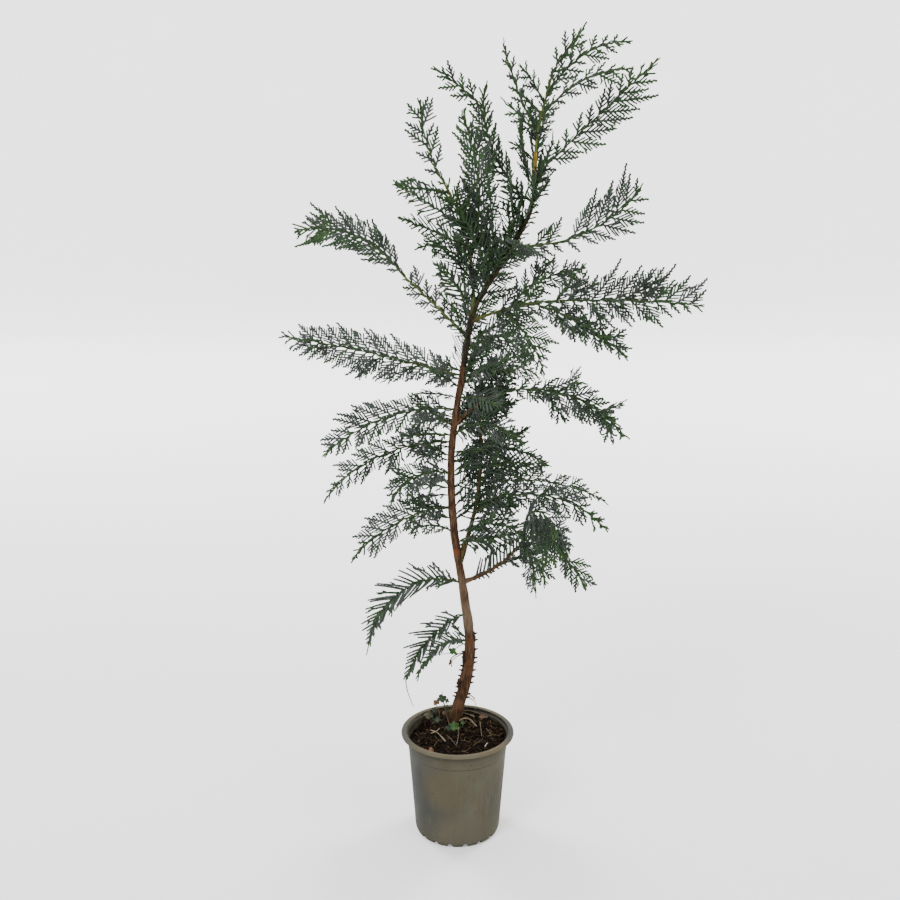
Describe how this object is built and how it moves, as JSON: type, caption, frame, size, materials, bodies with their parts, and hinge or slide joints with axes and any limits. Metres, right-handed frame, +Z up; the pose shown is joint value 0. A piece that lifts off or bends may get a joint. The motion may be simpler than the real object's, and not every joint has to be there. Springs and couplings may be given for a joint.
{
  "type": "potted leyland cypress",
  "caption": "Young conifer with a bent, leaning stem, side boughs and flat feathery sprays, growing in a filled round nursery pot that stands on its flat underside.",
  "frame": {"origin": "centre of the pot's flat underside", "axes": "+Z up; +X to the right and +Y away for someone who faces the plant as it was pictured"},
  "size_m": [0.6788, 0.3878, 1.3026],
  "materials": {
    "pot_plastic": "olive-grey moulded polypropylene, matt, scuffed and dusty",
    "compost": "dark moist compost with bark chips and dry stalks",
    "bark": "reddish-brown fibrous bark",
    "young_bark": "smooth yellow-green young bark",
    "foliage": "deep green to blue-green scale leaves, lighter at the tips"
  },
  "bodies": {
    "root": {"pot": "pot_plastic", "compost": "compost", "trunk": "bark", "second_stem": "bark", "left_leader": "bark", "bough_low_right": "bark", "bough_mid_right": "bark", "bough_back": "bark", "bough_high_right": "young_bark", "bough_high_left": "young_bark", "bough_top_right": "young_bark", "frond_left_1": "foliage", "frond_left_2": "foliage", "frond_left_3": "foliage", "frond_left_4": "foliage", "frond_left_5": "foliage", "frond_left_6": "foliage", "frond_left_7": "foliage", "frond_left_8": "foliage", "frond_left_9": "foliage", "frond_left_10": "foliage", "frond_left_11": "foliage", "frond_leader_tip": "foliage", "frond_leader_1": "foliage", "frond_leader_2": "foliage", "frond_leader_3": "foliage", "frond_leader_4": "foliage", "frond_leader_5": "foliage", "frond_leader_6": "foliage", "frond_centre_1": "foliage", "frond_centre_2": "foliage", "frond_top_1": "foliage", "frond_top_2": "foliage", "frond_top_3": "foliage", "frond_top_4": "foliage", "frond_top_5": "foliage", "frond_top_6": "foliage", "frond_top_7": "foliage", "frond_top_8": "foliage", "frond_top_9": "foliage", "frond_right_1": "foliage", "frond_right_2": "foliage", "frond_right_3": "foliage", "frond_right_4": "foliage", "frond_right_5": "foliage", "frond_right_6": "foliage", "frond_right_7": "foliage", "frond_right_8": "foliage", "frond_right_9": "foliage", "frond_right_10": "foliage", "frond_right_11": "foliage", "frond_right_12": "foliage", "frond_right_13": "foliage", "frond_right_14": "foliage", "frond_back_1": "foliage", "frond_back_2": "foliage", "frond_back_3": "foliage", "frond_back_4": "foliage", "frond_front_1": "foliage", "frond_front_2": "foliage"}
  },
  "joints": []
}
